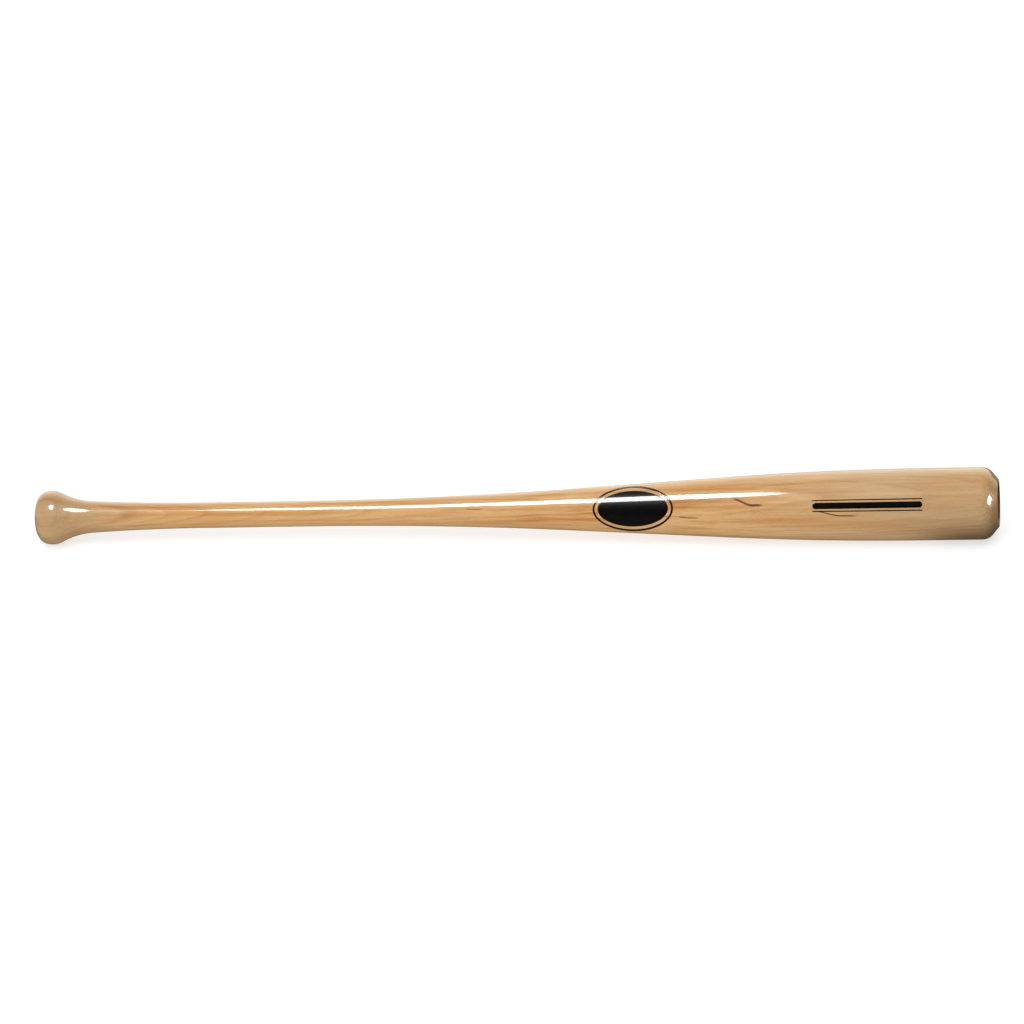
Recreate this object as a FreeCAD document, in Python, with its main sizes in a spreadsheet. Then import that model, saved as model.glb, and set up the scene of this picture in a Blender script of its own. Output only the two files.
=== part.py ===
import FreeCAD, Part
import Sketcher
import os

# A one-piece turned wooden baseball bat, 34 inches long, lying along +X.
# The origin is the middle of the knob's flat end, +X runs to the barrel and +Z is up.
# The wood is one lathe-turned billet: knob, handle, taper, barrel and cupped end.
# The printed marks are foils of their own, wrapped on the taper and on the barrel.

# Every size in millimetres or degrees; the outline runs from the knob to the cup.
SIZES = {
    "bat_length": 863.6,
    # knob
    "knob_radius": 24.25,
    "knob_front_round": 11.0,
    "knob_crown_end": 14.0,
    "knob_back_round": 14.0,
    # flare from the knob into the handle
    "flare_radius": 70.0,
    "neck_radius": 1800.0,
    # straight grip
    "handle_start": 150.0,
    "handle_end": 250.0,
    "handle_radius": 11.5,
    # taper: a hollow arc, a straight cone and a crowned arc, all tangent
    "hollow_radius": 4000.0,
    "crown_radius": 3000.0,
    # straight barrel and its rounded shoulder
    "barrel_start": 800.0,
    "barrel_end": 849.0,
    "barrel_radius": 31.75,
    "shoulder_radius": 12.0,
    # cupped end
    "rim_radius": 20.8,
    "cup_mouth_radius": 18.3,
    "cup_radius": 17.0,
    "cup_depth": 25.0,
    # foils
    "foil_thickness": 0.15,
    "foil_turn": 60.0,
    "emblem_centre": 544.0,
    "emblem_half_span": 38.0,
    "emblem_wrap": 156.0,
    "ring_half_length": 36.0,
    "ring_half_width": 20.0,
    "ring_line": 1.8,
    "oval_half_length": 31.5,
    "oval_half_width": 15.8,
    "stripe_start": 703.0,
    "stripe_end": 799.0,
    "bar_half_width": 2.8,
    "bar_wrap": 20.0,
    "pinstripe_wrap": 1.9,
    "pinstripe_offset": 9.0,
}

# First guesses for the foils' sections, before their constraints settle them.
CONE_GUESS = 22.0
CROWN_GUESS = 31.0
CROWN_GUESS_BULGE = 0.4
GUESS_GAP = 1.0
# How far the rectangle of the foils' cut-outs stands clear of the barrel.
FRAME_MARGIN = 10.0

# The sketcher's numbers for the points of a line or an arc, and for its own origin.
START = 1
END = 2
CENTRE = 3
ORIGIN_POINT = (-1, 1)


def make_sheet(document):
    """Put every size in its own cell, under its own name."""
    sheet = document.addObject("Spreadsheet::Sheet", "Dimensions")
    for row, (name, value) in enumerate(SIZES.items(), start=1):
        sheet.set("A%d" % row, name)
        sheet.set("B%d" % row, str(value))
        sheet.setAlias("B%d" % row, name)
    document.recompute()
    return sheet


def make_body(document, name):
    body = document.addObject("PartDesign::Body", name)
    body.Label = name
    return body


def make_sketch(body, name, role):
    """An empty sketch on one of the body's own origin planes."""
    sketch = body.newObject("Sketcher::SketchObject", name)
    plane = next(item for item in body.Origin.OriginFeatures if item.Role == role)
    sketch.AttachmentSupport = [(plane, "")]
    sketch.MapMode = "FlatFace"
    return sketch


def point(x, r):
    return FreeCAD.Vector(x, r, 0)


def add_line(sketch, start, end):
    return sketch.addGeometry(Part.LineSegment(start, end), False)


def add_arc(sketch, start, end, bulge):
    """An arc from start to end whose middle stands off the chord by bulge, away from the axis."""
    middle = (start + end) * 0.5
    across = FreeCAD.Vector(start.y - end.y, end.x - start.x, 0)
    across.normalize()
    return sketch.addGeometry(Part.Arc(start, middle + across * bulge, end), False)


def near_end(sketch, piece, place):
    """Which end of a line or arc lies nearer to a place."""
    to_start = sketch.getPoint(piece, START).distanceToPoint(place)
    to_end = sketch.getPoint(piece, END).distanceToPoint(place)
    return START if to_start < to_end else END


def join(sketch, kind, first, second, place):
    """Join two pieces end to end, either Tangent or only Coincident."""
    ends = (first, near_end(sketch, first, place), second, near_end(sketch, second, place))
    sketch.addConstraint(Sketcher.Constraint(kind, *ends))


def bind(sketch, kind, geometry, value, expression):
    """Add a dimension and let an expression drive it."""
    index = sketch.addConstraint(Sketcher.Constraint(kind, *geometry, value))
    sketch.setExpression("Constraints[%d]" % index, expression)


def cell(name):
    return "Dimensions." + name


def measure(sketch, kind, geometry, name):
    """Add a dimension that only reads the solved outline, for other expressions to use."""
    index = sketch.addConstraint(Sketcher.Constraint(kind, *geometry, 1.0))
    sketch.setDriving(index, False)
    sketch.renameConstraint(index, name)


def bind_place(sketch, geometry, x_name, r_name):
    """Fix a point's distance along the bat and from its axis."""
    bind(sketch, "DistanceX", ORIGIN_POINT + geometry, SIZES[x_name], cell(x_name))
    bind(sketch, "DistanceY", ORIGIN_POINT + geometry, SIZES[r_name], cell(r_name))


def draw_outline(sketch):
    """The bat's half outline, closed along its axis."""
    size = SIZES
    end_x = size["bat_length"]
    knob_face_end = point(0, size["knob_radius"] - size["knob_front_round"])
    knob_crown_start = point(size["knob_front_round"], size["knob_radius"])
    knob_crown_end = point(size["knob_crown_end"], size["knob_radius"])
    handle_start = point(size["handle_start"], size["handle_radius"])
    handle_end = point(size["handle_end"], size["handle_radius"])
    barrel_start = point(size["barrel_start"], size["barrel_radius"])
    barrel_end = point(size["barrel_end"], size["barrel_radius"])
    rim_outside = point(end_x, size["rim_radius"])
    rim_inside = point(end_x, size["cup_mouth_radius"])
    cup_bottom = point(end_x - size["cup_depth"], 0)
    origin = point(0, 0)

    # First guesses for the places that only tangency settles; so is each arc's bulge below.
    flare_start = point(20.6, 22.6)
    flare_end = point(50, 14.3)
    cone_start = point(473, 18)
    cone_end = point(630, 27)
    chamfer_start = point(858.5, 27)
    cup_wall_end = point(855, 17)

    knob_face = add_line(sketch, origin, knob_face_end)
    knob_front = add_arc(sketch, knob_face_end, knob_crown_start, 3)
    knob_crown = add_line(sketch, knob_crown_start, knob_crown_end)
    knob_back = add_arc(sketch, knob_crown_end, flare_start, 0.5)
    flare = add_arc(sketch, flare_start, flare_end, -2)
    neck = add_arc(sketch, flare_end, handle_start, -0.6)
    handle = add_line(sketch, handle_start, handle_end)
    hollow = add_arc(sketch, handle_end, cone_start, -1.7)
    cone = add_line(sketch, cone_start, cone_end)
    crown = add_arc(sketch, cone_end, barrel_start, 1.2)
    barrel = add_line(sketch, barrel_start, barrel_end)
    shoulder = add_arc(sketch, barrel_end, chamfer_start, 1.2)
    chamfer = add_line(sketch, chamfer_start, rim_outside)
    rim = add_line(sketch, rim_outside, rim_inside)
    cup_wall = add_line(sketch, rim_inside, cup_wall_end)
    cup_bowl = add_arc(sketch, cup_wall_end, cup_bottom, -5)
    axis = add_line(sketch, cup_bottom, origin)

    for first, second, place in (
        (knob_face, knob_front, knob_face_end),
        (knob_front, knob_crown, knob_crown_start),
        (knob_crown, knob_back, knob_crown_end),
        (knob_back, flare, flare_start),
        (flare, neck, flare_end),
        (neck, handle, handle_start),
        (handle, hollow, handle_end),
        (hollow, cone, cone_start),
        (cone, crown, cone_end),
        (crown, barrel, barrel_start),
        (barrel, shoulder, barrel_end),
        (shoulder, chamfer, chamfer_start),
        (cup_wall, cup_bowl, cup_wall_end),
    ):
        join(sketch, "Tangent", first, second, place)
    for first, second, place in (
        (chamfer, rim, rim_outside),
        (rim, cup_wall, rim_inside),
        (cup_bowl, axis, cup_bottom),
        (axis, knob_face, origin),
    ):
        join(sketch, "Coincident", first, second, place)

    for straight in (knob_crown, handle, barrel, axis):
        sketch.addConstraint(Sketcher.Constraint("Horizontal", straight))
    for straight in (knob_face, rim):
        sketch.addConstraint(Sketcher.Constraint("Vertical", straight))
    sketch.addConstraint(Sketcher.Constraint("Coincident", knob_face, START, *ORIGIN_POINT))
    sketch.addConstraint(Sketcher.Constraint("PointOnObject", cup_bowl, CENTRE, -1))

    for arc, name in (
        (knob_front, "knob_front_round"),
        (knob_back, "knob_back_round"),
        (flare, "flare_radius"),
        (neck, "neck_radius"),
        (hollow, "hollow_radius"),
        (crown, "crown_radius"),
        (shoulder, "shoulder_radius"),
        (cup_bowl, "cup_radius"),
    ):
        bind(sketch, "Radius", (arc,), SIZES[name], cell(name))
    bind_place(sketch, (knob_crown, END), "knob_crown_end", "knob_radius")
    bind_place(sketch, (handle, END), "handle_end", "handle_radius")
    bind_place(sketch, (barrel, END), "barrel_end", "barrel_radius")
    bind_place(sketch, (rim, START), "bat_length", "rim_radius")
    for geometry, name in (((handle, START), "handle_start"), ((barrel, START), "barrel_start")):
        bind(sketch, "DistanceX", ORIGIN_POINT + geometry, SIZES[name], cell(name))
    cup_mouth = ORIGIN_POINT + (rim, END)
    bind(sketch, "DistanceY", cup_mouth, SIZES["cup_mouth_radius"], cell("cup_mouth_radius"))
    cup_span = (axis, START, rim, END)
    bind(sketch, "DistanceX", cup_span, SIZES["cup_depth"], cell("cup_depth"))

    # What the foils on the cone need to know about it.
    measure(sketch, "DistanceX", ORIGIN_POINT + (cone, START), "cone_foot_x")
    measure(sketch, "DistanceY", ORIGIN_POINT + (cone, START), "cone_foot_radius")
    measure(sketch, "Angle", (cone,), "cone_angle")


def make_billet(document):
    """The wood, turned in one piece from its half outline."""
    body = make_body(document, "bat_billet")
    outline = make_sketch(body, "BatOutline", "XZ_Plane")
    draw_outline(outline)
    turn_about_axis(body, outline, "TurnedWood", "360")
    document.recompute()
    return body


def turn_about_axis(body, outline, name, angle):
    """Turn an outline about the bat's axis, evenly to both sides of its plane."""
    turned = body.newObject("PartDesign::Revolution", name)
    turned.Profile = outline
    turned.ReferenceAxis = (outline, ["H_Axis"])
    turned.Midplane = True
    turned.setExpression("Angle", angle)
    return turned


def close_strip(sketch, inner, outer, start_x, end_x, guess_r):
    """End a foil's section with a straight cut at each end, square to the axis."""
    for x in (start_x, end_x):
        side = add_line(sketch, point(x, guess_r), point(x, guess_r + GUESS_GAP))
        sketch.addConstraint(Sketcher.Constraint("Vertical", side))
        corner = point(x, guess_r)
        for edge, end in ((inner, START), (outer, END)):
            ends = (edge, near_end(sketch, edge, corner), side, end)
            sketch.addConstraint(Sketcher.Constraint("Coincident", *ends))


def draw_cone_strip(sketch):
    """The section of a foil that lies on the taper's straight cone."""
    start_x = SIZES["emblem_centre"] - SIZES["emblem_half_span"]
    end_x = SIZES["emblem_centre"] + SIZES["emblem_half_span"]
    guess_outer = CONE_GUESS + GUESS_GAP
    inner = add_line(sketch, point(start_x, CONE_GUESS), point(end_x, CONE_GUESS))
    outer = add_line(sketch, point(start_x, guess_outer), point(end_x, guess_outer))
    close_strip(sketch, inner, outer, start_x, end_x, CONE_GUESS)
    for end, sign, x in ((START, "-", start_x), (END, "+", end_x)):
        along = "(Dimensions.emblem_centre %s Dimensions.emblem_half_span)" % sign
        bind(sketch, "DistanceX", ORIGIN_POINT + (inner, end), x, along)
        from_foot = "(%s * 1 mm - BatOutline.Constraints.cone_foot_x)" % along
        rise = "%s * tan(BatOutline.Constraints.cone_angle)" % from_foot
        surface = "BatOutline.Constraints.cone_foot_radius + " + rise
        bind(sketch, "DistanceY", ORIGIN_POINT + (inner, end), CONE_GUESS, surface)
        gap = (inner, end, outer, end)
        bind(sketch, "DistanceY", gap, SIZES["foil_thickness"], cell("foil_thickness"))


def draw_crown_strip(sketch):
    """The section of a foil that lies on the crowned arc before the barrel."""
    start_x = SIZES["stripe_start"]
    end_x = SIZES["stripe_end"]
    bulge = CROWN_GUESS_BULGE
    guess_outer = CROWN_GUESS + GUESS_GAP
    inner = add_arc(sketch, point(start_x, CROWN_GUESS), point(end_x, CROWN_GUESS), bulge)
    outer = add_arc(sketch, point(start_x, guess_outer), point(end_x, guess_outer), bulge)
    close_strip(sketch, inner, outer, start_x, end_x, CROWN_GUESS)
    sketch.addConstraint(Sketcher.Constraint("Coincident", inner, CENTRE, outer, CENTRE))
    crown = SIZES["crown_radius"]
    bind(sketch, "Radius", (inner,), crown, cell("crown_radius"))
    outside = "Dimensions.crown_radius + Dimensions.foil_thickness"
    bind(sketch, "Radius", (outer,), crown + SIZES["foil_thickness"], outside)
    centre = (inner, CENTRE)
    bind(sketch, "DistanceX", ORIGIN_POINT + centre, SIZES["barrel_start"], cell("barrel_start"))
    below = "Dimensions.crown_radius - Dimensions.barrel_radius"
    bind(sketch, "DistanceY", centre + ORIGIN_POINT, crown - SIZES["barrel_radius"], below)
    for x, name in ((start_x, "stripe_start"), (end_x, "stripe_end")):
        corner = (inner, near_end(sketch, inner, point(x, CROWN_GUESS)))
        bind(sketch, "DistanceX", ORIGIN_POINT + corner, x, cell(name))


def draw_ellipse(sketch, half_length, half_width):
    """An ellipse about the emblem's centre; half_length and half_width are expressions."""
    centre_x = SIZES["emblem_centre"]
    guess_a = SIZES["oval_half_length"]
    guess_b = SIZES["oval_half_width"]
    ellipse = sketch.addGeometry(Part.Ellipse(point(centre_x, 0), guess_a, guess_b), False)
    sketch.exposeInternalGeometry(ellipse)
    long_axis = ellipse + 1
    short_axis = ellipse + 2
    sketch.addConstraint(Sketcher.Constraint("PointOnObject", ellipse, CENTRE, -1))
    sketch.addConstraint(Sketcher.Constraint("Horizontal", long_axis))
    centre = ORIGIN_POINT + (ellipse, CENTRE)
    bind(sketch, "DistanceX", centre, centre_x, cell("emblem_centre"))
    bind(sketch, "Distance", (long_axis,), 2 * guess_a, "2 * (%s)" % half_length)
    bind(sketch, "Distance", (short_axis,), 2 * guess_b, "2 * (%s)" % half_width)


def draw_slot(sketch):
    """A long slot with round ends, as wide and as long as the barrel's bar."""
    half_width = SIZES["bar_half_width"]
    left_x = SIZES["stripe_start"] + half_width
    right_x = SIZES["stripe_end"] - half_width
    upper = add_line(sketch, point(left_x, half_width), point(right_x, half_width))
    lower = add_line(sketch, point(left_x, -half_width), point(right_x, -half_width))
    left = add_arc(sketch, point(left_x, -half_width), point(left_x, half_width), half_width)
    right = add_arc(sketch, point(right_x, half_width), point(right_x, -half_width), half_width)
    for x, cap in ((left_x, left), (right_x, right)):
        for side, r in ((upper, half_width), (lower, -half_width)):
            join(sketch, "Tangent", side, cap, point(x, r))
        sketch.addConstraint(Sketcher.Constraint("PointOnObject", cap, CENTRE, -1))
    sketch.addConstraint(Sketcher.Constraint("Equal", left, right))
    bind(sketch, "Radius", (left,), half_width, cell("bar_half_width"))
    for cap, x, middle in (
        (left, left_x, "Dimensions.stripe_start + Dimensions.bar_half_width"),
        (right, right_x, "Dimensions.stripe_end - Dimensions.bar_half_width"),
    ):
        bind(sketch, "DistanceX", ORIGIN_POINT + (cap, CENTRE), x, middle)


def draw_frame(sketch):
    """A rectangle about the whole bat, so that a pocket keeps only what lies inside a shape."""
    reach = SIZES["barrel_radius"] + FRAME_MARGIN
    corners = [
        point(-reach, -reach),
        point(SIZES["bat_length"], -reach),
        point(SIZES["bat_length"], reach),
        point(-reach, reach),
    ]
    sides = [add_line(sketch, corners[i - 1], corners[i]) for i in range(4)]
    for i, side in enumerate(sides):
        ends = (sides[i - 1], END, side, START)
        sketch.addConstraint(Sketcher.Constraint("Coincident", *ends))
    for i in range(4):
        sketch.addConstraint(Sketcher.Constraint("Block", sides[i]))


def cut_away(body, sketch, name):
    """Pocket a sketch out through the foil on the label's side, and see that it cut."""
    document = body.Document
    document.recompute()
    before = body.Shape.Volume
    pocket = body.newObject("PartDesign::Pocket", name)
    pocket.Profile = sketch
    pocket.Type = "ThroughAll"
    pocket.Reversed = True
    document.recompute()
    if not body.Shape.Volume < before:
        raise RuntimeError(name + " cut nothing")


def make_foil(document, name, draw_strip, wrap, offset="0"):
    """A thin foil wrapped on the wood, its middle turned up from +Z towards the label's side."""
    body = make_body(document, name)
    strip = make_sketch(body, name + "_section", "XZ_Plane")
    draw_strip(strip)
    turn_about_axis(body, strip, name + "_wrap", wrap)
    body.Placement = FreeCAD.Placement(FreeCAD.Vector(), FreeCAD.Rotation(FreeCAD.Vector(1, 0, 0), 1))
    body.setExpression("Placement.Rotation.Angle", "Dimensions.foil_turn + (%s)" % offset)
    document.recompute()
    return body


def keep_inside(body, draw_shape):
    """Cut away all of a foil that lies outside a drawn shape."""
    sketch = make_sketch(body, body.Name + "_outside", "XY_Plane")
    draw_frame(sketch)
    draw_shape(sketch)
    cut_away(body, sketch, body.Name + "_trim")


def make_emblem_oval(document):
    body = make_foil(document, "emblem_oval", draw_cone_strip, cell("emblem_wrap"))
    length = cell("oval_half_length")
    width = cell("oval_half_width")
    keep_inside(body, lambda sketch: draw_ellipse(sketch, length, width))
    return body


def make_emblem_ring(document):
    body = make_foil(document, "emblem_ring", draw_cone_strip, cell("emblem_wrap"))
    length = cell("ring_half_length")
    width = cell("ring_half_width")
    keep_inside(body, lambda sketch: draw_ellipse(sketch, length, width))
    middle = make_sketch(body, "emblem_ring_middle", "XY_Plane")
    line = " - Dimensions.ring_line"
    draw_ellipse(middle, length + line, width + line)
    cut_away(body, middle, "emblem_ring_opening")
    return body


def make_barrel_bar(document):
    body = make_foil(document, "barrel_bar", draw_crown_strip, cell("bar_wrap"))
    keep_inside(body, draw_slot)
    return body


def make_pinstripe(document, name, offset):
    wrap = cell("pinstripe_wrap")
    return make_foil(document, name, draw_crown_strip, wrap, offset)


def check_document(document):
    for item in document.Objects:
        if "Invalid" in item.State or "Error" in item.State:
            raise RuntimeError("%s is %s" % (item.Name, item.State))
        if item.TypeId == "Sketcher::SketchObject" and not item.FullyConstrained:
            raise RuntimeError(item.Name + " is not fully constrained")


def check_body(body):
    if body.Shape.isNull() or not body.Shape.isValid():
        raise RuntimeError(body.Label + " has no valid shape")
    if len(body.Shape.Solids) != 1:
        raise RuntimeError(body.Label + " is not one solid")


def main():
    document = FreeCAD.newDocument("BaseballBat")
    make_sheet(document)
    bodies = [
        make_billet(document),
        make_emblem_oval(document),
        make_emblem_ring(document),
        make_barrel_bar(document),
        make_pinstripe(document, "upper_pinstripe", "-Dimensions.pinstripe_offset"),
        make_pinstripe(document, "lower_pinstripe", "Dimensions.pinstripe_offset"),
    ]
    document.recompute()
    check_document(document)
    for body in bodies:
        check_body(body)
    os.makedirs("parts", exist_ok=True)
    for body in bodies:
        body.Shape.exportStep("parts/%s.step" % body.Label)
        print(body.Label, round(body.Shape.Volume, 2))


main()
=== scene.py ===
import math
import bmesh
import bpy
import numpy as np
from mathutils import Matrix, Vector


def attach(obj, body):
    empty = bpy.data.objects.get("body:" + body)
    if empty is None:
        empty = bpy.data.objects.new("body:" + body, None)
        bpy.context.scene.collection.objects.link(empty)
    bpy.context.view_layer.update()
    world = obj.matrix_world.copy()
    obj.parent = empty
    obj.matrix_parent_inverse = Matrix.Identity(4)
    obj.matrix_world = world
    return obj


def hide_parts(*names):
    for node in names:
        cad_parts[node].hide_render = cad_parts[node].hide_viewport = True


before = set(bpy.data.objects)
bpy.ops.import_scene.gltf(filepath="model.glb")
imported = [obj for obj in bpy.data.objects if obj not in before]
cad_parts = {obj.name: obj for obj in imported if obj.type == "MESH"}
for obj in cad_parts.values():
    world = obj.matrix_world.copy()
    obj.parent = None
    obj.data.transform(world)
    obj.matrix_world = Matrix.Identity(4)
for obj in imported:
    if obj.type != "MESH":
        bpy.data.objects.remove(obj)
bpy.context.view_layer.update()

# A lacquered maple baseball bat. Lengths are in millimetres until they are written into a mesh,
# x runs from the knob's face to the cupped end, and r is the distance from the bat's axis.
MM = 0.001

# The turned outline, the same driving sizes as in the CAD part.
BAT_LENGTH = 863.6
KNOB_RADIUS = 24.25
KNOB_FRONT_ROUND = 11.0
KNOB_CROWN_END = 14.0
KNOB_BACK_ROUND = 14.0
FLARE_RADIUS = 70.0
NECK_RADIUS = 1800.0
HANDLE_START = 150.0
HANDLE_END = 250.0
HANDLE_RADIUS = 11.5
HOLLOW_RADIUS = 4000.0
CROWN_RADIUS = 3000.0
BARREL_START = 800.0
BARREL_END = 849.0
BARREL_RADIUS = 31.75
SHOULDER_RADIUS = 12.0
RIM_RADIUS = 20.8
CUP_MOUTH_RADIUS = 18.3
CUP_RADIUS = 17.0
CUP_DEPTH = 25.0
RIM_ROUND = 0.6

# The printed marks: an oval in a ring on the taper, a bar between two pinstripes on the barrel.
LABEL_TURN = 30.0
EMBLEM_CENTRE = 544.0
RING_HALF_LENGTH = 36.0
RING_HALF_WIDTH = 20.0
RING_LINE = 1.8
OVAL_HALF_LENGTH = 31.5
OVAL_HALF_WIDTH = 15.8
STRIPE_START = 703.0
STRIPE_END = 799.0
BAR_HALF_WIDTH = 2.8
PINSTRIPE_WRAP = 1.9
PINSTRIPE_OFFSET = 9.0
FOIL_LIFT = 0.1
FOIL_EDGE = 0.4
FOIL_BED = 0.03

# Mesh fineness: steps round the bat, and steps (along or round, across) for each foil.
AROUND = 192
OVAL_STEPS = (96, 32)
RING_STEPS = (240, 10)
BAR_STEPS = (120, 14)
PINSTRIPE_STEPS = (48, 8)
# Foil points nearer than this, in metres, are merged.
MERGE_GAP = 1e-6

# The camera and the floor, in metres and degrees.
CAMERA_DISTANCE = 4.0
CAMERA_AZIMUTH = 10.6
CAMERA_ELEVATION = 30.0
CAMERA_AIM = Vector((0.4328, 0, -0.0016))
VIEW_WIDTH = 0.9097
BAT_SLOPE = 0.88
FLOOR_REACH = 6.0


# ---------------------------------------------------------------- the turned outline


def common_tangent(centre_1, side_1, centre_2, side_2):
    """Where one straight line touches two circles, on its way from the first to the second.
    A side is the circle's radius, positive if its centre lies to the left of the line."""
    across = centre_2 - centre_1
    lean = math.asin((side_2 - side_1) / across.length)
    direction = math.atan2(across.y, across.x) - lean
    left = Vector((-math.sin(direction), math.cos(direction)))
    return centre_1 - left * side_1, centre_2 - left * side_2


def circle_meeting(centre_1, distance_1, centre_2, distance_2):
    """The point at two given distances from two centres, to the right of the way between them."""
    across = centre_2 - centre_1
    gap = across.length
    along = (distance_1 ** 2 - distance_2 ** 2 + gap ** 2) / (2 * gap)
    aside = math.sqrt(distance_1 ** 2 - along ** 2)
    forward = across / gap
    right = Vector((forward.y, -forward.x))
    return centre_1 + forward * along + right * aside


class Pen:
    """Draws an outline of straight lines and arcs as a list of points."""

    def __init__(self, start):
        self.points = [start.copy()]

    def line(self, end, steps):
        start = self.points[-1]
        for step in range(1, steps + 1):
            self.points.append(start.lerp(end, step / steps))

    def arc(self, centre, end, steps):
        """Turn about the centre to the end, the short way round."""
        first = self.points[-1] - centre
        last = end - centre
        turn = math.atan2(first.x * last.y - first.y * last.x, first.dot(last))
        for step in range(1, steps + 1):
            spun = Matrix.Rotation(turn * step / steps, 2) @ first
            self.points.append(centre + spun)

    def rounded_corner(self, corner, after, radius, steps):
        """Go straight towards a corner, round it off, and face the point after it."""
        back = (self.points[-1] - corner).normalized()
        ahead = (after - corner).normalized()
        half = back.angle(ahead) / 2
        reach = radius / math.tan(half)
        centre = corner + (back + ahead).normalized() * (radius / math.sin(half))
        self.line(corner + back * reach, 2)
        self.arc(centre, corner + ahead * reach, steps)


def bat_outline():
    """The whole outline from the middle of the knob's face to the bottom of the cup."""
    knob_front = Vector((KNOB_FRONT_ROUND, KNOB_RADIUS - KNOB_FRONT_ROUND))
    knob_back = Vector((KNOB_CROWN_END, KNOB_RADIUS - KNOB_BACK_ROUND))
    neck = Vector((HANDLE_START, HANDLE_RADIUS + NECK_RADIUS))
    hollow = Vector((HANDLE_END, HANDLE_RADIUS + HOLLOW_RADIUS))
    crown = Vector((BARREL_START, BARREL_RADIUS - CROWN_RADIUS))
    shoulder = Vector((BARREL_END, BARREL_RADIUS - SHOULDER_RADIUS))
    bowl = Vector((BAT_LENGTH - CUP_DEPTH + CUP_RADIUS, 0))
    rim = Vector((BAT_LENGTH, RIM_RADIUS))
    mouth = Vector((BAT_LENGTH, CUP_MOUTH_RADIUS))
    flare = circle_meeting(
        knob_back, KNOB_BACK_ROUND + FLARE_RADIUS, neck, NECK_RADIUS - FLARE_RADIUS
    )
    flare_start = knob_back + (flare - knob_back).normalized() * KNOB_BACK_ROUND
    flare_end = neck + (flare - neck).normalized() * NECK_RADIUS
    cone_start, cone_end = common_tangent(hollow, HOLLOW_RADIUS, crown, -CROWN_RADIUS)
    chamfer_start, _ = common_tangent(shoulder, -SHOULDER_RADIUS, rim, 0)
    _, wall_end = common_tangent(mouth, 0, bowl, CUP_RADIUS)

    pen = Pen(Vector((0, 0)))
    pen.line(Vector((0, KNOB_RADIUS - KNOB_FRONT_ROUND)), 8)
    pen.arc(knob_front, Vector((KNOB_FRONT_ROUND, KNOB_RADIUS)), 24)
    pen.line(Vector((KNOB_CROWN_END, KNOB_RADIUS)), 4)
    pen.arc(knob_back, flare_start, 14)
    pen.arc(flare, flare_end, 22)
    pen.arc(neck, Vector((HANDLE_START, HANDLE_RADIUS)), 26)
    pen.line(Vector((HANDLE_END, HANDLE_RADIUS)), 20)
    pen.arc(hollow, cone_start, 44)
    pen.line(cone_end, 30)
    pen.arc(crown, Vector((BARREL_START, BARREL_RADIUS)), 36)
    pen.line(Vector((BARREL_END, BARREL_RADIUS)), 12)
    pen.arc(shoulder, chamfer_start, 18)
    pen.rounded_corner(rim, mouth, RIM_ROUND, 6)
    pen.rounded_corner(mouth, wall_end, RIM_ROUND, 6)
    pen.line(wall_end, 5)
    pen.arc(bowl, Vector((BAT_LENGTH - CUP_DEPTH, 0)), 22)
    return pen.points


OUTLINE = bat_outline()


def surface_radius(x):
    """The bat's radius at x, between the knob's crown and the shoulder."""
    outside = [p for p in OUTLINE if KNOB_FRONT_ROUND <= p.x <= BARREL_END and p.y > 0]
    return float(np.interp(x, [p.x for p in outside], [p.y for p in outside]))


def place(x, r, turn):
    """A point of the bat in metres; turn is in degrees, upwards from the middle of the label."""
    angle = math.radians(LABEL_TURN + turn)
    return Vector((x, -r * math.cos(angle), r * math.sin(angle))) * MM


# ---------------------------------------------------------------- meshes


def new_piece(name, mesh, material, replaced):
    """A smooth-shaded piece that rides on the bat in place of a CAD node."""
    piece = bpy.data.objects.new(name, mesh)
    bpy.context.scene.collection.objects.link(piece)
    mesh.shade_smooth()
    mesh.materials.append(material)
    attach(piece, "root")
    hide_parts(replaced)


# The bake layout: the bat's skin is unrolled in blocks, and its two ends are laid out as discs.
# Each block is (first x, last x, left, bottom, stands upright) on a square page, all in mm.
PAGE = 418.0
SKIN_BLOCKS = (
    (0.0, 50.0, 3.0, 341.0, True),
    (50.0, 400.0, 3.0, 246.0, False),
    (400.0, 640.0, 239.0, 3.0, True),
    (640.0, BAT_LENGTH, 3.0, 3.0, False),
)
KNOB_DISC = (266.0, 374.0)
CUP_DISC = (196.0, 379.0)


def lay_out(stations):
    """Where each strip between two outline points goes on the page, and how far along it runs."""
    lengths = [0.0]
    for before, after in zip(stations, stations[1:]):
        lengths.append(lengths[-1] + (after - before).length)
    total = lengths[-1]
    rim = max(range(len(stations)), key=lambda i: stations[i].x)
    crown = next(i for i, p in enumerate(stations) if p.x >= KNOB_FRONT_ROUND)
    block_start = {}
    strips = []
    for i in range(len(stations) - 1):
        if i < crown:
            strips.append(("disc", KNOB_DISC, lengths[i], lengths[i + 1]))
        elif i >= rim:
            strips.append(("disc", CUP_DISC, total - lengths[i], total - lengths[i + 1]))
        else:
            middle = (stations[i].x + stations[i + 1].x) / 2
            block = next(b for b in SKIN_BLOCKS if b[0] <= middle <= b[1])
            begin = block_start.setdefault(block, lengths[i])
            strips.append(("skin", block, lengths[i] - begin, lengths[i + 1] - begin))
    return strips


def page_place(kind, where, along, share, widest):
    """A place on the bake page for a point at a share of the way round."""
    if kind == "disc":
        angle = 2 * math.pi * share
        u = where[0] + along * math.cos(angle)
        v = where[1] + along * math.sin(angle)
    else:
        around = share * 2 * math.pi * widest
        _, _, left, bottom, upright = where
        u, v = (left + around, bottom + along) if upright else (left + along, bottom + around)
    return u / PAGE, v / PAGE


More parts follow.
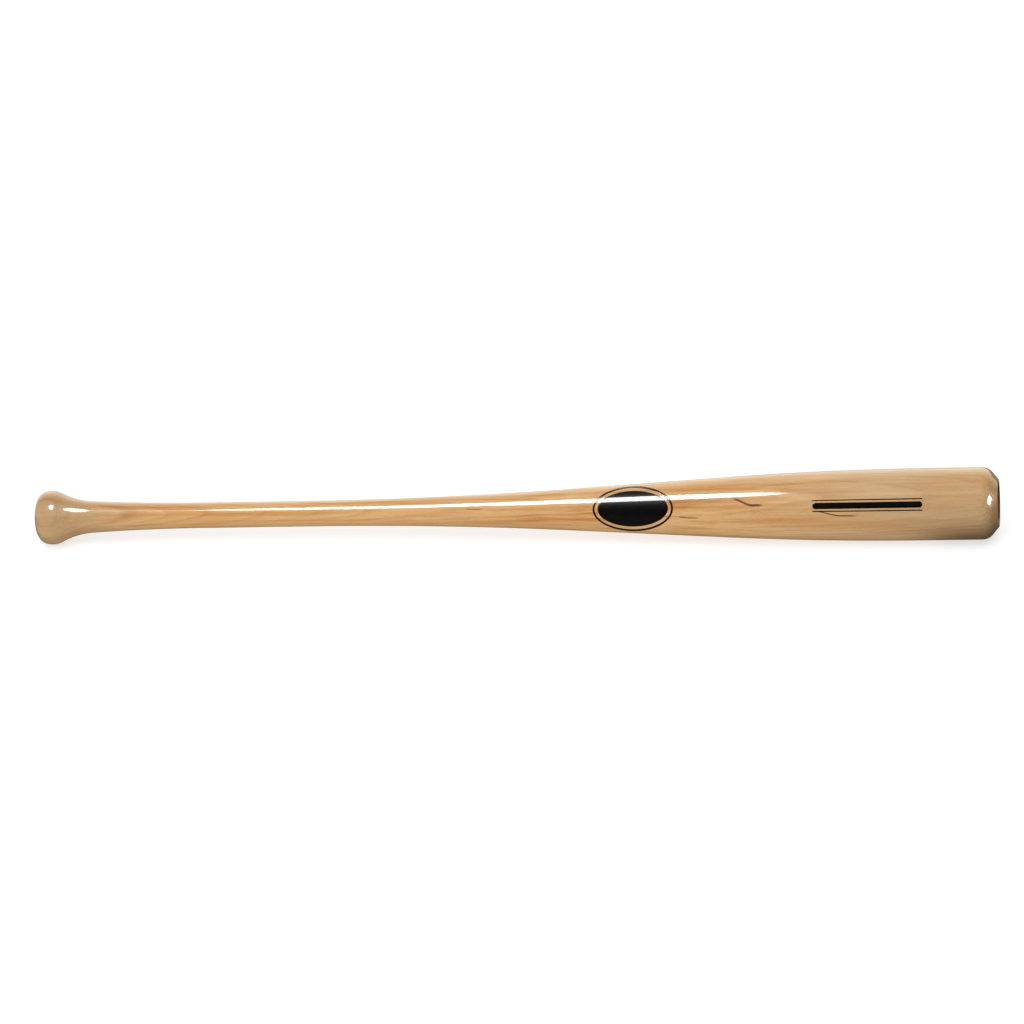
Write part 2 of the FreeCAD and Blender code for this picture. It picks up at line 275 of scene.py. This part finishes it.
def turned_mesh(name, stations):
    """The outline turned about the axis, closed at both poles, with its bake layout."""
    rings = stations[1:-1]
    step = 360.0 / AROUND
    vertices = [place(stations[0].x, 0, 0)]
    for ring in rings:
        vertices += [place(ring.x, ring.y, 180 + step * j) for j in range(AROUND)]
    vertices.append(place(stations[-1].x, 0, 0))
    last = len(vertices) - 1

    def corner(i, j):
        """The vertex on outline point i, j steps round."""
        if i == 0:
            return 0
        if i == len(stations) - 1:
            return last
        return 1 + (i - 1) * AROUND + j % AROUND

    faces = []
    places = []
    widest = {}
    strips = lay_out(stations)
    for i, (kind, where, _, _) in enumerate(strips):
        if kind == "skin":
            reach = max(stations[i].y, stations[i + 1].y)
            widest[where] = max(widest.get(where, 0), reach)
    for i, (kind, where, near, far) in enumerate(strips):
        for j in range(AROUND):
            corners = [(i + 1, j, far), (i + 1, j + 1, far), (i, j + 1, near), (i, j, near)]
            if i == 0:
                corners.pop()
            if i == len(strips) - 1:
                corners.pop(0)
            faces.append([corner(a, b) for a, b, _ in corners])
            for _, b, along in corners:
                places += page_place(kind, where, along, b / AROUND, widest.get(where, 0))
    mesh = bpy.data.meshes.new(name)
    mesh.from_pydata(vertices, [], faces)
    mesh.uv_layers.new(name="OFBake")
    mesh.uv_layers["OFBake"].data.foreach_set("uv", places)
    mesh.update()
    return mesh


def finish_mesh(name, vertices, faces):
    """A mesh with doubled points merged and every face turned outwards."""
    shape = bmesh.new()
    corners = [shape.verts.new(v) for v in vertices]
    for face in faces:
        shape.faces.new([corners[i] for i in face])
    bmesh.ops.remove_doubles(shape, verts=shape.verts, dist=MERGE_GAP)
    bmesh.ops.recalc_face_normals(shape, faces=shape.faces)
    mesh = bpy.data.meshes.new(name)
    shape.to_mesh(mesh)
    shape.free()
    return mesh


def eased_lift(distance):
    """The foil's height above the wood at a distance from its edge."""
    return FOIL_LIFT * math.sin(math.pi / 2 * min(1.0, distance / FOIL_EDGE))


def spread(count):
    """Places from -1 to 1 that crowd towards both ends."""
    return [-math.cos(math.pi * i / count) for i in range(count + 1)]


def foil_place(x, aside, distance):
    """(x, turn, lift) of a foil point that stands aside from the label's middle plane."""
    turn = math.degrees(math.asin(aside / surface_radius(x)))
    return x, turn, eased_lift(distance)


def foil_mesh(name, columns, closed=False):
    """A thin closed shell on the bat. Each column is a run of (x, turn, lift) across the foil."""
    rows = len(columns[0])
    vertices = []
    for column in columns:
        vertices += [place(x, surface_radius(x) + lift, turn) for x, turn, lift in column]
        vertices += [place(x, surface_radius(x) - FOIL_BED, turn) for x, turn, _ in column]
    faces = []
    count = len(columns)
    for c in range(count if closed else count - 1):
        here = c * 2 * rows
        there = (c + 1) % count * 2 * rows
        for k in range(rows - 1):
            faces.append([here + k, there + k, there + k + 1, here + k + 1])
            low_here = here + rows + k
            low_there = there + rows + k
            faces.append([low_here, low_here + 1, low_there + 1, low_there])
        for k in (0, rows - 1):
            faces.append([here + k, here + rows + k, there + rows + k, there + k])
    if not closed:
        for end in (0, (count - 1) * 2 * rows):
            for k in range(end, end + rows - 1):
                faces.append([k, k + 1, k + rows + 1, k + rows])
    return finish_mesh(name, vertices, faces)


def oval_columns():
    columns = []
    steps_along, steps_across = OVAL_STEPS
    for along in spread(steps_along):
        half = OVAL_HALF_WIDTH * math.sqrt(max(0.0, 1 - along * along))
        column = []
        for across in spread(steps_across):
            reach = math.hypot(along, across * half / OVAL_HALF_WIDTH)
            edge = (1 - reach) * OVAL_HALF_WIDTH
            x = EMBLEM_CENTRE + along * OVAL_HALF_LENGTH
            column.append(foil_place(x, across * half, max(0.0, edge)))
        columns.append(column)
    return columns


def ring_columns():
    columns = []
    steps_round, steps_across = RING_STEPS
    for i in range(steps_round):
        angle = 2 * math.pi * i / steps_round
        column = []
        for across in spread(steps_across):
            inset = RING_LINE * (1 + across) / 2
            x = EMBLEM_CENTRE + (RING_HALF_LENGTH - inset) * math.cos(angle)
            aside = (RING_HALF_WIDTH - inset) * math.sin(angle)
            column.append(foil_place(x, aside, min(inset, RING_LINE - inset)))
        columns.append(column)
    return columns


def bar_columns():
    middle = (STRIPE_START + STRIPE_END) / 2
    half_length = (STRIPE_END - STRIPE_START) / 2
    columns = []
    steps_along, steps_across = BAR_STEPS
    for along in spread(steps_along):
        x = middle + along * half_length
        into_end = max(0.0, abs(x - middle) - (half_length - BAR_HALF_WIDTH))
        half = math.sqrt(max(0.0, BAR_HALF_WIDTH ** 2 - into_end ** 2))
        column = []
        for across in spread(steps_across):
            edge = BAR_HALF_WIDTH - math.hypot(into_end, across * half)
            column.append(foil_place(x, across * half, max(0.0, edge)))
        columns.append(column)
    return columns


def pinstripe_columns(middle_turn):
    columns = []
    half_wrap = PINSTRIPE_WRAP / 2
    half_width = math.radians(half_wrap) * BARREL_RADIUS
    steps_along, steps_across = PINSTRIPE_STEPS
    for i in range(steps_along + 1):
        x = STRIPE_START + (STRIPE_END - STRIPE_START) * i / steps_along
        to_end = min(x - STRIPE_START, STRIPE_END - x)
        column = []
        for across in spread(steps_across):
            edge = min(to_end, half_width * (1 - abs(across)))
            column.append((x, middle_turn + across * half_wrap, eased_lift(edge)))
        columns.append(column)
    return columns


# ---------------------------------------------------------------- materials


class Nodes:
    """Adds shader nodes to one tree and wires them."""

    def __init__(self, tree):
        self.tree = tree
        tree.nodes.clear()
        self.coordinates = tree.nodes.new("ShaderNodeTexCoord").outputs

    def feed(self, socket, value):
        if isinstance(value, bpy.types.NodeSocket):
            self.tree.links.new(value, socket)
        else:
            socket.default_value = value

    def add(self, kind, inputs, **settings):
        node = self.tree.nodes.new(kind)
        for name, value in settings.items():
            setattr(node, name, value)
        for key, value in inputs.items():
            self.feed(node.inputs[key], value)
        return node

    def math(self, operation, *values):
        return self.add("ShaderNodeMath", dict(enumerate(values)), operation=operation).outputs[0]

    def smooth(self, value, low, high, start=0.0, end=1.0):
        """Goes smoothly from start to end as value goes from low to high."""
        inputs = {"Value": value, "From Min": low, "From Max": high, "To Min": start, "To Max": end}
        kind = "ShaderNodeMapRange"
        return self.add(kind, inputs, interpolation_type="SMOOTHSTEP").outputs["Result"]

    def join(self, x, y, z):
        return self.add("ShaderNodeCombineXYZ", {0: x, 1: y, 2: z}).outputs[0]

    def split(self, vector):
        return self.add("ShaderNodeSeparateXYZ", {0: vector}).outputs

    def noise(self, vector, detail):
        inputs = {"Vector": vector, "Scale": 1.0, "Detail": detail, "Roughness": 0.5}
        return self.add("ShaderNodeTexNoise", inputs).outputs["Fac"]

    def choose(self, share, value_a, value_b):
        """value_a where share is 0, value_b where it is 1."""
        return self.add("ShaderNodeMix", {0: share, 2: value_a, 3: value_b}).outputs[0]

    def mix(self, share, colour_a, colour_b, blend="MIX"):
        inputs = {0: share, 6: colour_a, 7: colour_b}
        return self.add("ShaderNodeMix", inputs, data_type="RGBA", blend_type=blend).outputs[2]

    def tint(self, share, base, tint):
        return self.mix(share, base, tint, "MULTIPLY")

    def bump(self, height, strength, distance):
        inputs = {"Height": height, "Strength": strength, "Distance": distance}
        return self.add("ShaderNodeBump", inputs).outputs[0]

    def light_path(self, name):
        return self.add("ShaderNodeLightPath", {}).outputs[name]


def new_material(name):
    material = bpy.data.materials.new(name)
    material.use_nodes = True
    return material, Nodes(material.node_tree)


def colour(red, green, blue):
    return (red, green, blue, 1.0)


def lacquered(nodes, base, roughness, normal):
    """The clear gloss coat that lies over both the wood and the foil."""
    inputs = {
        "Base Color": base,
        "Roughness": roughness,
        "IOR": 1.45,
        "Specular IOR Level": 0.2,
        "Coat Weight": 1.0,
        "Coat Roughness": 0.06,
        "Coat IOR": 1.5,
        "Normal": normal,
    }
    shader = nodes.add("ShaderNodeBsdfPrincipled", inputs)
    nodes.add("ShaderNodeOutputMaterial", {"Surface": shader.outputs[0]})


# The wood's own colours along the bat, and what its figure does to them.
KNOB_WOOD = colour(0.50, 0.32, 0.165)
HANDLE_WOOD = colour(0.65, 0.385, 0.165)
BARREL_WOOD = colour(0.56, 0.36, 0.18)
PALE_TINT = colour(1.08, 1.13, 1.20)
WARM_TINT = colour(0.97, 0.87, 0.74)
STREAK_TINT = colour(0.86, 0.74, 0.60)
RING_TINT = colour(0.68, 0.53, 0.38)
FIBRE_TINT = colour(0.86, 0.78, 0.69)
FLECK_TINT = colour(0.70, 0.58, 0.46)
MINERAL_TINT = colour(0.26, 0.17, 0.12)
# The end grain's own darker brown, deepened as painted shade for the barrel's dark rim. Inside the
# cup the same tint is painted shade.
END_GRAIN_AND_SHADE_TINT = colour(0.35, 0.27, 0.20)

# The growth rings are cylinders about the tree's heart, which lies far below the label.
# They lean against the bat, so that each ring closes in an arch on the barrel.
GRAIN_TURN = 12.0
HEART_DEPTH = 150.0
RING_WIDTH = 3.1
RING_LEAN = 0.065
# They wander along the bat by up to so many mm, and over each such length of the radius
# their count drifts by up to so many rings.
SWAY_REACH = 2.6
RIPPLE_REACH = 0.8
SEASON_LENGTH = 7.0
SEASON_REACH = 1.1
# Each ring darkens slowly outwards by this power, and ends in a short fade.
LATE_WOOD = 3.5
LATE_WOOD_FADE = (0.88, 1.0, 1.0, 0.0)

# The figure's layers of noise: (length along the grain, width across it, detail, shift).
SWAY = (230.0, 60.0, 1.0, 4.1)
RIPPLE = (46.0, 12.0, 2.0, 9.7)
CLOUDS = (130.0, 14.0, 2.0, 1.7)
STREAKS = (150.0, 3.2, 2.0, 5.2)
LINES = (70.0, 0.9, 2.0, 6.9)
FIBRES = (14.0, 0.32, 2.0, 8.8)
FLECKS = (2.6, 0.45, 0.0, 2.4)
FOIL_FIBRES = (12.0, 0.4, 2.0, 8.8)
FOIL_CLOUDS = (9.0, 5.0, 2.0, 3.1)

# How much each layer shows: its noise goes (from, to), and its share from 0 to 1 or as given.
PALE_SHARE = (0.48, 0.68)
WARM_SHARE = (0.50, 0.32)
STREAK_SHARE = (0.46, 0.72)
LINE_SHARE = (0.48, 0.75, 0.0, 0.7)
FIBRE_SHARE = (0.35, 0.75, 0.0, 0.5)
FLECK_SHARE = (0.66, 0.78, 0.0, 0.4)
RING_SHARE = (0.0, 1.0, 0.3, 0.9)
FOIL_WASH_SHARE = (0.3, 0.7)
WOOD_ROUGHNESS = (0.2, 0.8, 0.38, 0.5)
FOIL_ROUGHNESS = (0.2, 0.8, 0.32, 0.46)
# The fibres' relief, (strength, height in metres), and how far the ring lines lie lower.
WOOD_BUMP = (0.25, 0.00008)
FOIL_BUMP = (0.2, 0.00006)
RING_SINK = -0.6

# Where along the bat its colour turns, and where its figure calms down and how far.
KNOB_COLOUR = (130.0, 20.0)
BARREL_COLOUR = (600.0, 790.0)
KNOB_CALM = (100.0, 30.0)
BARREL_CALM = (620.0, 760.0)
CALM_FIGURE = 0.45

# Where the darker end grain shows, on faces turned along x so far, and where painted shade darkens
# the inside of the cup, within its wall from its bottom on.
BARREL_FACE = (0.78, 0.98)
KNOB_FACE = (-0.6, -1.0, 0.0, 0.4)
CUP_SHADE_WALL = (CUP_MOUTH_RADIUS + 0.5, CUP_MOUTH_RADIUS - 0.2)
CUP_SHADE_BOTTOM = (BAT_LENGTH - CUP_DEPTH - 3.0, BAT_LENGTH - CUP_DEPTH - 1.0)

# Dark mineral streaks: (first x, last x, first turn, last turn, width in mm). Each crosses
# the grain over the first part of its length, tapers over a part of it at both ends, and
# fades between two shares of its half width.
STREAK_CROSSING = 0.65
STREAK_TAPER = 0.2
STREAK_CORE = 0.3
STREAK_EDGE = 1.6
MINERAL_STREAKS = (
    (631.0, 661.0, 16.5, 3.0, 2.2),
    (702.0, 744.0, -8.0, -17.0, 1.2),
    (583.0, 603.0, -19.0, -21.0, 0.9),
    (392.0, 410.0, 9.0, 6.5, 0.6),
)


def grain_space(nodes):
    """The object's own place in mm as (along, through, across) the growth layers."""
    x, y, z = nodes.split(nodes.coordinates["Object"])
    angle = math.radians(LABEL_TURN + GRAIN_TURN)
    through_y = nodes.math("MULTIPLY", y, -math.cos(angle) / MM)
    through = nodes.math("MULTIPLY_ADD", z, math.sin(angle) / MM, through_y)
    across_y = nodes.math("MULTIPLY", y, math.sin(angle) / MM)
    across = nodes.math("MULTIPLY_ADD", z, math.cos(angle) / MM, across_y)
    return nodes.math("MULTIPLY", x, 1 / MM), through, across


def stretched_noise(nodes, space, layer):
    """One of the figure's layers of noise, stretched along the grain."""
    along, aside, detail, shift = layer
    scales = (along, aside, aside)
    parts = [nodes.math("MULTIPLY_ADD", s, 1 / size, shift) for s, size in zip(space, scales)]
    return nodes.noise(nodes.join(*parts), detail)


def centred(nodes, value, amount):
    """Noise from 0 to 1, as a shift of up to amount either way."""
    return nodes.math("MULTIPLY_ADD", value, 2 * amount, -amount)


def distance_from(nodes, through, across):
    """How far a place stands from an axis, from its two offsets."""
    squares = [nodes.math("POWER", offset, 2.0) for offset in (through, across)]
    return nodes.math("SQRT", nodes.math("ADD", *squares))


def wood_rings(nodes, space):
    """(how dark the ring lines are, a random share for each ring)."""
    along, through, across = space
    sway = centred(nodes, stretched_noise(nodes, space, SWAY), SWAY_REACH)
    ripple = centred(nodes, stretched_noise(nodes, space, RIPPLE), RIPPLE_REACH)
    leaning = nodes.math("MULTIPLY_ADD", along, -RING_LEAN, through)
    deep = nodes.math("ADD", leaning, nodes.math("ADD", sway, ripple))
    heart = nodes.math("ADD", deep, HEART_DEPTH)
    radius = distance_from(nodes, heart, across)
    slow = nodes.math("MULTIPLY", radius, 1 / SEASON_LENGTH)
    season = centred(nodes, nodes.noise(nodes.join(slow, 3.3, 0.0), 1.0), SEASON_REACH)
    count = nodes.math("MULTIPLY_ADD", radius, 1 / RING_WIDTH, season)
    year = nodes.math("FLOOR", count)
    inside = nodes.math("FRACT", count)
    rise = nodes.math("POWER", inside, LATE_WOOD)
    drop = nodes.smooth(inside, *LATE_WOOD_FADE)
    luck = nodes.add("ShaderNodeTexWhiteNoise", {"W": year}, noise_dimensions="1D").outputs[0]
    return nodes.math("MULTIPLY", rise, drop), luck


def mineral_streak(nodes, along, turn, streak):
    """How much of one dark streak shows: a line that crosses the grain, then runs along it."""
    first_x, last_x, first_turn, last_turn, width = streak
    crossed_x = first_x + (last_x - first_x) * STREAK_CROSSING
    middle_turn = nodes.smooth(along, first_x, crossed_x, first_turn, last_turn)
    aside = nodes.math("ABSOLUTE", nodes.math("SUBTRACT", turn, middle_turn))
    half_turn = math.degrees(width / 2 / surface_radius((first_x + last_x) / 2))
    core, edge = half_turn * STREAK_CORE, half_turn * STREAK_EDGE
    across = nodes.smooth(aside, core, edge, 1.0, 0.0)
    taper = (last_x - first_x) * STREAK_TAPER
    begin = nodes.smooth(along, first_x, first_x + taper)
    end = nodes.smooth(along, last_x - taper, last_x, 1.0, 0.0)
    return nodes.math("MULTIPLY", across, nodes.math("MULTIPLY", begin, end))


def mineral_streaks(nodes, along):
    _, y, z = nodes.split(nodes.coordinates["Object"])
    angle = nodes.math("ARCTAN2", z, nodes.math("MULTIPLY", y, -1.0))
    turn = nodes.math("MULTIPLY_ADD", angle, math.degrees(1.0), -LABEL_TURN)
    total = 0.0
    for streak in MINERAL_STREAKS:
        total = nodes.math("MAXIMUM", total, mineral_streak(nodes, along, turn, streak))
    return total


def end_grain_and_cup_shade(nodes, space):
    """How much the darker end grain shows on the rim and the knob's face, and how much painted
    shade darkens the inside of the cup.
    """
    along, through, across = space
    normal_x = nodes.split(nodes.coordinates["Normal"])[0]
    barrel_face = nodes.smooth(normal_x, *BARREL_FACE)
    knob_face = nodes.smooth(normal_x, *KNOB_FACE)
    near_axis = nodes.smooth(distance_from(nodes, through, across), *CUP_SHADE_WALL)
    past_bottom = nodes.smooth(along, *CUP_SHADE_BOTTOM)
    # Painted shade inside the cup's hollow.
    cup = nodes.math("MULTIPLY", near_axis, past_bottom)
    faces = nodes.math("MAXIMUM", barrel_face, knob_face)
    return nodes.math("MAXIMUM", faces, cup)


def body_colour(nodes, along):
    """The wood is greyer in the knob and the barrel than in the handle."""
    wood = nodes.mix(nodes.smooth(along, *KNOB_COLOUR), HANDLE_WOOD, KNOB_WOOD)
    return nodes.mix(nodes.smooth(along, *BARREL_COLOUR), wood, BARREL_WOOD)


def maple_material():
    """Pale hard maple under clear gloss lacquer, cut from one solid pattern."""
    material, nodes = new_material("lacquered_maple")
    space = grain_space(nodes)
    along = space[0]
    line, luck = wood_rings(nodes, space)
    clouds = stretched_noise(nodes, space, CLOUDS)
    streaks = stretched_noise(nodes, space, STREAKS)
    lines = stretched_noise(nodes, space, LINES)
    fibres = stretched_noise(nodes, space, FIBRES)
    flecks = stretched_noise(nodes, space, FLECKS)

    wood = body_colour(nodes, along)
    wood = nodes.tint(nodes.smooth(clouds, *PALE_SHARE), wood, PALE_TINT)
    wood = nodes.tint(nodes.smooth(clouds, *WARM_SHARE), wood, WARM_TINT)
    calm_knob = nodes.smooth(along, *KNOB_CALM, 1.0, CALM_FIGURE)
    calm_barrel = nodes.smooth(along, *BARREL_CALM, 1.0, CALM_FIGURE)
    calm = nodes.math("MULTIPLY", calm_knob, calm_barrel)
    streak_share = nodes.math("MULTIPLY", nodes.smooth(streaks, *STREAK_SHARE), calm)
    wood = nodes.tint(streak_share, wood, STREAK_TINT)
    line_share = nodes.math("MULTIPLY", nodes.smooth(lines, *LINE_SHARE), calm)
    wood = nodes.tint(line_share, wood, STREAK_TINT)
    ring_depth = nodes.math("MULTIPLY", nodes.smooth(luck, *RING_SHARE), calm_knob)
    ring_share = nodes.math("MULTIPLY", line, ring_depth)
    wood = nodes.tint(ring_share, wood, RING_TINT)
    wood = nodes.tint(nodes.smooth(fibres, *FIBRE_SHARE), wood, FIBRE_TINT)
    wood = nodes.tint(nodes.smooth(flecks, *FLECK_SHARE), wood, FLECK_TINT)
    wood = nodes.tint(mineral_streaks(nodes, along), wood, MINERAL_TINT)
    # Darker end grain on the rim and the knob's face, and painted shade inside the cup.
    wood = nodes.tint(end_grain_and_cup_shade(nodes, space), wood, END_GRAIN_AND_SHADE_TINT)

    roughness = nodes.smooth(fibres, *WOOD_ROUGHNESS)
    height = nodes.math("MULTIPLY_ADD", line, RING_SINK, fibres)
    lacquered(nodes, wood, roughness, nodes.bump(height, *WOOD_BUMP))
    return material


FOIL_BLACK = colour(0.0004, 0.0004, 0.0005)
FOIL_WASH = colour(0.0016, 0.0015, 0.0013)


def foil_material():
    """Black foil under the same lacquer, with the wood's fibres showing through faintly."""
    material, nodes = new_material("black_foil")
    space = grain_space(nodes)
    fibres = stretched_noise(nodes, space, FOIL_FIBRES)
    wash = stretched_noise(nodes, space, FOIL_CLOUDS)
    base = nodes.mix(nodes.smooth(wash, *FOIL_WASH_SHARE), FOIL_BLACK, FOIL_WASH)
    roughness = nodes.smooth(fibres, *FOIL_ROUGHNESS)
    lacquered(nodes, base, roughness, nodes.bump(fibres, *FOIL_BUMP))
    return material


# ---------------------------------------------------------------- the studio


def floor_height(x):
    """The floor under the lying bat, in mm: it touches the knob's crown and the barrel."""
    knob_x = (KNOB_FRONT_ROUND + KNOB_CROWN_END) / 2
    share = (x - knob_x) / (BARREL_START - knob_x)
    return -KNOB_RADIUS - share * (BARREL_RADIUS - KNOB_RADIUS)


# The floor as the bat sees it, by place in metres. Its bounce fades towards the barrel's end.
# Mirrored in the lacquer it is dark in front, pale behind, and dark again past the end.
BOUNCE = (1.05, 0.1)
BOUNCE_FADE = (0.775, 0.835)
MIRROR_PALE = 0.9
MIRROR_DARK = 0.05
MIRROR_BACK = (0.03, 0.12)
MIRROR_END = (0.85, 0.87)
# The floor as the camera sees it: its paint, which takes the shadow, and a glow up to white.
FLOOR_PAINT = 0.42
FLOOR_GLOW = 0.66


def floor_material():
    """White paper; from below it is clear, so that it never hides the bat."""
    material, nodes = new_material("studio_floor")
    x, y, _ = nodes.split(nodes.coordinates["Object"])
    bounce = nodes.smooth(x, *BOUNCE_FADE, *BOUNCE)
    behind = nodes.smooth(x, *MIRROR_END, MIRROR_PALE, MIRROR_DARK)
    mirrored = nodes.smooth(y, *MIRROR_BACK, MIRROR_DARK, behind)
    unseen = nodes.choose(nodes.light_path("Is Glossy Ray"), bounce, mirrored)
    seen = nodes.light_path("Is Camera Ray")
    shade = nodes.math("MULTIPLY", seen, FLOOR_PAINT)
    paint = nodes.add("ShaderNodeBsdfDiffuse", {"Color": nodes.join(shade, shade, shade)})
    strength = nodes.choose(seen, unseen, FLOOR_GLOW)
    glow = nodes.add("ShaderNodeEmission", {"Strength": strength})
    lit = nodes.add("ShaderNodeAddShader", {0: paint.outputs[0], 1: glow.outputs[0]})
    clear = nodes.add("ShaderNodeBsdfTransparent", {})
    below = nodes.add("ShaderNodeNewGeometry", {}).outputs["Backfacing"]
    shader = nodes.add("ShaderNodeMixShader", {0: below, 1: lit.outputs[0], 2: clear.outputs[0]})
    nodes.add("ShaderNodeOutputMaterial", {"Surface": shader.outputs[0]})
    return material


def make_floor():
    reach = FLOOR_REACH / MM
    middle = BAT_LENGTH / 2
    left, right = middle - reach, middle + reach
    corners = [(left, -reach), (right, -reach), (right, reach), (left, reach)]
    vertices = [Vector((x, y, floor_height(x))) * MM for x, y in corners]
    mesh = bpy.data.meshes.new("floor")
    mesh.from_pydata(vertices, [], [[0, 1, 2, 3]])
    mesh.materials.append(floor_material())
    floor = bpy.data.objects.new("floor", mesh)
    bpy.context.scene.collection.objects.link(floor)


def make_camera():
    data = bpy.data.cameras.new("camera")
    camera = bpy.data.objects.new("camera", data)
    bpy.context.scene.collection.objects.link(camera)
    azimuth = math.radians(CAMERA_AZIMUTH)
    height = math.radians(CAMERA_ELEVATION)
    back = Vector((
        math.sin(azimuth) * math.cos(height),
        -math.cos(azimuth) * math.cos(height),
        math.sin(height),
    ))
    along = Vector((1, 0, 0)) - back * back.x
    along.normalize()
    above = back.cross(along)
    slope = math.radians(BAT_SLOPE)
    right = along * math.cos(slope) - above * math.sin(slope)
    up = back.cross(right)
    turned = Matrix((right, up, back)).transposed().to_4x4()
    camera.matrix_world = Matrix.Translation(CAMERA_AIM + back * CAMERA_DISTANCE) @ turned
    data.sensor_width = 36.0
    data.lens = data.sensor_width * CAMERA_DISTANCE / VIEW_WIDTH
    data.clip_start = 0.1
    data.clip_end = 50.0
    bpy.context.scene.camera = camera


def facing(direction):
    """A turn that points a lamp's light against the direction, with its length along the bat."""
    back = direction.normalized()
    side = Vector((1, 0, 0)) - back * back.x
    side.normalize()
    return Matrix((side, back.cross(side), back)).transposed().to_4x4()


# Which way the overhead lamps stand, in front of the point right above the bat.
OVERHEAD_HEIGHT = math.radians(75.5)
OVERHEAD = Vector((0, -math.cos(OVERHEAD_HEIGHT), math.sin(OVERHEAD_HEIGHT)))
# A point of the barrel's shoulder, and which way its lamp stands from it.
SHOULDER_SPOT = Vector((0.857, -0.0233, 0.0166))
PAST_THE_END = Vector((0.979, -0.114, 0.17))
# The oval softboxes, in metres and degrees:
# (name, target, which way it stands, distance, size, radiance, spread).
SOFTBOXES = (
    ("strip", Vector((0.212, 0, 0)), OVERHEAD, 1.0, (0.585, 0.40), 24.0, 180.0),
    ("strip_tail", Vector((-0.09, 0, 0)), OVERHEAD, 1.0, (0.30, 0.24), 1.5, 180.0),
    ("end_spot", SHOULDER_SPOT, PAST_THE_END, 0.012, (0.0106, 0.0131), 8.0, 100.0),
)
# The broad soft light from above and in front: its strength, its angular size and its side.
KEY_STRENGTH = 1.45
KEY_SIZE = 40.0
KEY_SIDE = Vector((0.0, -0.5, 0.87))


def gloss_light(name, target, direction, distance, size, radiance, spread_angle):
    """An oval softbox that only shows as a highlight in the lacquer."""
    data = bpy.data.lights.new(name, "AREA")
    data.shape = "ELLIPSE"
    data.size, data.size_y = size
    area = math.pi / 4 * size[0] * size[1]
    data.energy = radiance * math.pi * area
    data.spread = math.radians(spread_angle)
    lamp = bpy.data.objects.new(name, data)
    bpy.context.scene.collection.objects.link(lamp)
    back = direction.normalized()
    lamp.matrix_world = Matrix.Translation(target + back * distance) @ facing(direction)
    lamp.visible_camera = False
    lamp.visible_diffuse = False


def make_lights():
    for softbox in SOFTBOXES:
        gloss_light(*softbox)

    data = bpy.data.lights.new("key", "SUN")
    data.energy = KEY_STRENGTH
    data.angle = math.radians(KEY_SIZE)
    key = bpy.data.objects.new("key", data)
    bpy.context.scene.collection.objects.link(key)
    key.matrix_world = facing(KEY_SIDE)
    key.visible_glossy = False


# The world: its light on the bat from the knob's side and from past the barrel's end, its
# warm mirror image in the lacquer in front and behind, and the white that the camera sees.
FILL = (0.78, 0.35)
FILL_FADE = (0.1, 0.9)
WORLD_MIRROR = (0.02, 1.7)
WORLD_MIRROR_BACK = (0.42, 0.92)
WORLD_WHITE = 1.2
MIRROR_TONE = colour(1.0, 0.93, 0.78)


def make_world():
    """White to the camera. It lights the bat evenly, but less from past the barrel's end,
    and the gloss sees only a warm bright back."""
    world = bpy.data.worlds.new("studio")
    world.use_nodes = True
    bpy.context.scene.world = world
    nodes = Nodes(world.node_tree)
    x, y, _ = nodes.split(nodes.coordinates["Generated"])
    gloss = nodes.light_path("Is Glossy Ray")
    around = nodes.smooth(x, *FILL_FADE, *FILL)
    behind = nodes.smooth(y, *WORLD_MIRROR_BACK, *WORLD_MIRROR)
    to_bat = nodes.choose(gloss, around, behind)
    strength = nodes.choose(nodes.light_path("Is Camera Ray"), to_bat, WORLD_WHITE)
    tone = nodes.mix(gloss, colour(1, 1, 1), MIRROR_TONE)
    background = nodes.add("ShaderNodeBackground", {"Color": tone, "Strength": strength})
    nodes.add("ShaderNodeOutputWorld", {"Surface": background.outputs[0]})


# ---------------------------------------------------------------- putting it together


def make_bat():
    wood = maple_material()
    foil = foil_material()
    billet = turned_mesh("turned_billet", OUTLINE)
    new_piece("turned_billet", billet, wood, "bat_billet")
    marks = (
        ("emblem_oval", oval_columns(), False),
        ("emblem_ring", ring_columns(), True),
        ("barrel_bar", bar_columns(), False),
        ("upper_pinstripe", pinstripe_columns(PINSTRIPE_OFFSET), False),
        ("lower_pinstripe", pinstripe_columns(-PINSTRIPE_OFFSET), False),
    )
    for node, columns, closed in marks:
        name = node + "_foil"
        new_piece(name, foil_mesh(name, columns, closed), foil, node)


make_camera()
make_floor()
make_lights()
make_world()
make_bat()
bpy.context.scene.view_settings.view_transform = "Standard"
